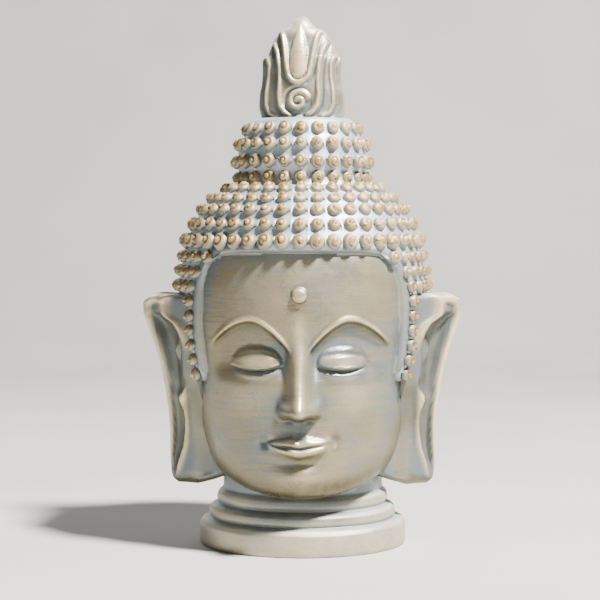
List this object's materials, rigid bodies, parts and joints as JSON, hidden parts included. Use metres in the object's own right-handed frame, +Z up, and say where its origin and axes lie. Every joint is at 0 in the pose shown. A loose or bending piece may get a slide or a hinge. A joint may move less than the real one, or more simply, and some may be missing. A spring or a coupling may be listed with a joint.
{
  "type": "buddha head statue",
  "caption": "Garden buddha head on a ringed neck base, with long ears, snail-shell curls, a crown bun and a flame finial; stands on its flat underside.",
  "frame": {"origin": "centre of the flat underside of the neck base", "axes": "+Z up to the tip of the finial, -Y the way the face looks, +X towards the head's own left ear"},
  "size_m": [0.3252, 0.2855, 0.54],
  "materials": {
    "cast_stone": "cast stone with a satin gold-pewter wash, rubbed paler on the raised parts and blue-grey in the hollows"
  },
  "bodies": {
    "root": {"buddha_head": "cast_stone"}
  },
  "joints": []
}
